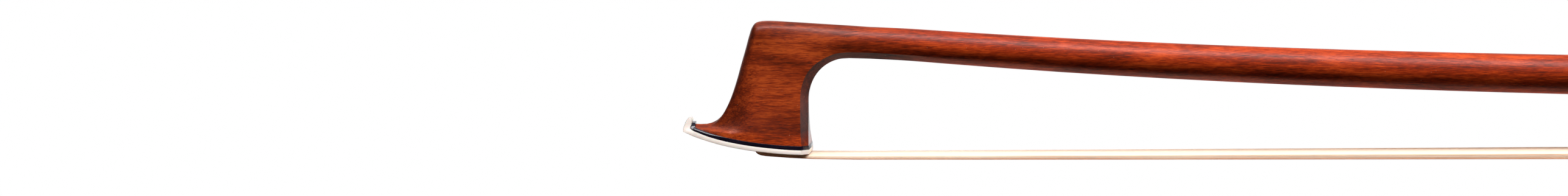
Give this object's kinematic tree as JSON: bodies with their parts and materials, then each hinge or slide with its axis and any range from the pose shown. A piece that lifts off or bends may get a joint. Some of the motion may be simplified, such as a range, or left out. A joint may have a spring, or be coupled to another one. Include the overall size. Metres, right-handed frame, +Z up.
{
  "type": "violin bow",
  "caption": "Cambered round wooden bow with a carved head, bone head plate, horsehair ribbon and silver-mounted frog moved by a screw button",
  "frame": {"origin": "under the middle of the bow's length, on the plane that the hair side rests on", "axes": "+X along the bow from the head to the screw button, +Z up from the hair to the stick, +Y to the far side"},
  "size_m": [0.745, 0.0136, 0.0286],
  "materials": {
    "stick_wood": "gloss",
    "ebony": "gloss",
    "bone": "satin",
    "maple": "matte",
    "thread": "matte",
    "horsehair": "satin",
    "leather": "satin",
    "silver": "polished",
    "pearl": "gloss",
    "brass": "satin",
    "steel": "satin"
  },
  "bodies": {
    "stick": {"stick": "stick_wood", "head_liner": "ebony", "head_plate": "bone", "head_plug": "maple", "head_hair_knot": "thread", "hair_ribbon": "horsehair", "thumb_leather": "leather", "lapping": "silver"},
    "frog": {"frog_block": "ebony", "ferrule": "silver", "spread_wedge": "maple", "frog_hair_knot": "thread", "frog_plug": "maple", "slide_backing": "ebony", "pearl_slide": "pearl", "heel_plate_sole": "silver", "heel_plate_back": "silver", "underslide": "silver", "eye_ring_left": "silver", "eye_ring_right": "silver", "eye_pearl_left": "pearl", "eye_pearl_right": "pearl", "eyelet": "brass"},
    "button": {"adjusting_screw": "steel", "button_collar_front": "silver", "button_core": "ebony", "button_collar_rear": "silver", "button_pearl": "pearl"}
  },
  "joints": [
    {"name": "button_turn", "type": "hinge", "parent": "stick", "child": "button", "pos_m": [0.36028, 0, 0.02401], "axis": [0.9996, 0, 0.0279], "range_deg": [-720, 2520]},
    {"name": "frog_slide", "type": "slide", "parent": "stick", "child": "frog", "axis": [0.9996, 0, 0.0279], "range_m": [-0.0049, 0.0014], "deforming": ["hair_ribbon"]}
  ],
  "couplings": [
    {"joint": "button_turn", "follows": "frog_slide", "rad_per_m": -8976}
  ]
}
